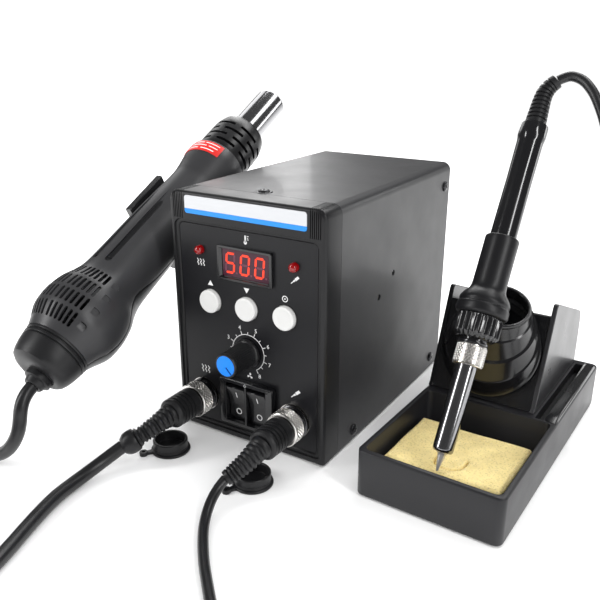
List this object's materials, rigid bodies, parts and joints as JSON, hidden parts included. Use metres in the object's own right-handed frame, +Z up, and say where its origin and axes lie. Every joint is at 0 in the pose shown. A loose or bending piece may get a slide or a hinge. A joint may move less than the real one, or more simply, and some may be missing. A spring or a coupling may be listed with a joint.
{
  "type": "hot air rework station",
  "caption": "Hot air rework station with a gun in a side cradle, and a soldering iron on a stand with a sponge.",
  "frame": {"origin": "on the bench, under the middle of the box round the station, gun, stand and iron", "axes": "+Z up, the station's front panel faces -Y, +X towards the stand"},
  "size_m": [0.3526, 0.3721, 0.1962],
  "materials": {
    "case_paint": "satin black powder coat",
    "zinc_sheet": "zinc plated sheet",
    "bezel_plastic": "fine satin moulding",
    "panel_film": "smooth printed panel",
    "badge_silver": "silver plate with a blue stripe",
    "display_frame": "smooth",
    "display_smoke": "tinted window",
    "inner_plastic": "moulded",
    "led_red": "translucent lens",
    "button_white": "smooth",
    "knob_black": "satin",
    "cap_blue": "smooth",
    "pot_metal": "turned and pressed",
    "switch_black": "smooth",
    "plated_metal": "bright plating",
    "plug_rubber": "satin rubber",
    "circuit_board": "solder mask",
    "transformer_core": "varnished laminations",
    "foot_rubber": "matt rubber",
    "screw_black": "black zinc",
    "gun_grey": "satin moulding",
    "gun_black": "satin moulding",
    "nozzle_steel": "polished stainless tube",
    "heater_mica": "mica and wire",
    "motor_can": "pressed can",
    "label_red": "printed label",
    "tip_plated": "plated copper, a little dulled",
    "barrel_steel": "polished tube",
    "iron_black": "gloss moulding",
    "grip_rubber": "satin silicone",
    "stand_grey": "satin moulding",
    "stand_black": "satin moulding",
    "sponge_yellow": "open-cell cellulose sponge",
    "cord_black": "satin rubber jacket"
  },
  "bodies": {
    "root": {"case_cover": "case_paint", "chassis_base": "zinc_sheet", "rear_panel": "case_paint", "front_bezel": "bezel_plastic", "control_panel": "panel_film", "badge_plate": "badge_silver", "display_frame": "display_frame", "display_window": "display_smoke", "display_module": "inner_plastic", "indicator_leds": "led_red", "potentiometer": "pot_metal", "switch_housing": "switch_black", "panel_sockets": "plated_metal", "socket_nuts": "plated_metal", "plug_left": "plug_rubber", "plug_right": "plug_rubber", "plug_boots": "plug_rubber", "dust_caps": "plug_rubber", "control_board": "circuit_board", "main_board": "circuit_board", "transformer": "transformer_core", "power_inlet": "inner_plastic", "fuse_holder": "inner_plastic", "rubber_feet": "foot_rubber", "fixing_screws": "screw_black", "gun_cradle": "stand_black", "stand_tray": "stand_grey", "stand_holder": "stand_black", "stand_funnel": "stand_black", "cleaning_sponge": "sponge_yellow", "hot_air_cord": "cord_black", "hot_air_coil": "cord_black", "iron_cord": "cord_black", "iron_coil": "cord_black"},
    "button_up": {"button_up": "button_white"},
    "button_down": {"button_down": "button_white"},
    "button_set": {"button_set": "button_white"},
    "knob": {"air_knob": "knob_black", "knob_cap": "cap_blue"},
    "rocker_hot_air": {"rocker_hot_air": "switch_black"},
    "rocker_iron": {"rocker_iron": "switch_black"},
    "ring_left": {"coupling_ring_left": "plated_metal"},
    "ring_right": {"coupling_ring_right": "plated_metal"},
    "gun": {"gun_shell_upper": "gun_grey", "gun_shell_lower": "gun_black", "gun_collar": "gun_black", "nozzle_tube": "nozzle_steel", "gun_heater": "heater_mica", "fan_motor": "motor_can", "gun_end_cap": "gun_black", "gun_label": "label_red"},
    "fan": {"fan_impeller": "inner_plastic"},
    "iron": {"iron_tip": "tip_plated", "iron_barrel": "barrel_steel", "iron_collar": "iron_black", "iron_grip": "grip_rubber", "iron_handle": "iron_black", "iron_boot": "plug_rubber"},
    "nut": {"barrel_nut": "plated_metal"}
  },
  "joints": [
    {"name": "button_up_press", "type": "slide", "parent": "root", "child": "button_up", "axis": [0, 1, 0], "range_m": [0, 0.0012], "stiffness_N_per_m": 150},
    {"name": "button_down_press", "type": "slide", "parent": "root", "child": "button_down", "axis": [0, 1, 0], "range_m": [0, 0.0012], "stiffness_N_per_m": 150},
    {"name": "button_set_press", "type": "slide", "parent": "root", "child": "button_set", "axis": [0, 1, 0], "range_m": [0, 0.0012], "stiffness_N_per_m": 150},
    {"name": "knob_turn", "type": "hinge", "parent": "root", "child": "knob", "pos_m": [-0.024, -0.04, 0.0545], "axis": [0, -1, 0], "range_deg": [0, 300]},
    {"name": "hot_air_switch", "type": "hinge", "parent": "root", "child": "rocker_hot_air", "pos_m": [-0.0309, -0.034, 0.024], "axis": [-1, 0, 0], "range_deg": [0, 20]},
    {"name": "iron_switch", "type": "hinge", "parent": "root", "child": "rocker_iron", "pos_m": [-0.0171, -0.034, 0.024], "axis": [-1, 0, 0], "range_deg": [0, 20]},
    {"name": "ring_left_turn", "type": "hinge", "parent": "root", "child": "ring_left", "pos_m": [-0.0537, -0.046, 0.023], "axis": [0, -1, 0], "range_deg": [0, 540]},
    {"name": "ring_right_turn", "type": "hinge", "parent": "root", "child": "ring_right", "pos_m": [0.0057, -0.046, 0.023], "axis": [0, -1, 0], "range_deg": [0, 540]},
    {"name": "gun_lift", "type": "slide", "parent": "root", "child": "gun", "axis": [0, -0.4787, 0.878], "range_m": [0, 0.08]},
    {"name": "fan_spin", "type": "hinge", "parent": "gun", "child": "fan", "pos_m": [-0.104, -0.08266, 0.06826], "axis": [0, 0.878, 0.4787], "continuous": true},
    {"name": "iron_lift", "type": "slide", "parent": "root", "child": "iron", "axis": [0.0171, 0.5429, 0.8396], "range_m": [0, 0.06]},
    {"name": "nut_turn", "type": "hinge", "parent": "iron", "child": "nut", "pos_m": [0.0847, -0.0371, 0.0182], "axis": [0.0171, 0.5429, 0.8396], "range_deg": [0, 360]}
  ]
}
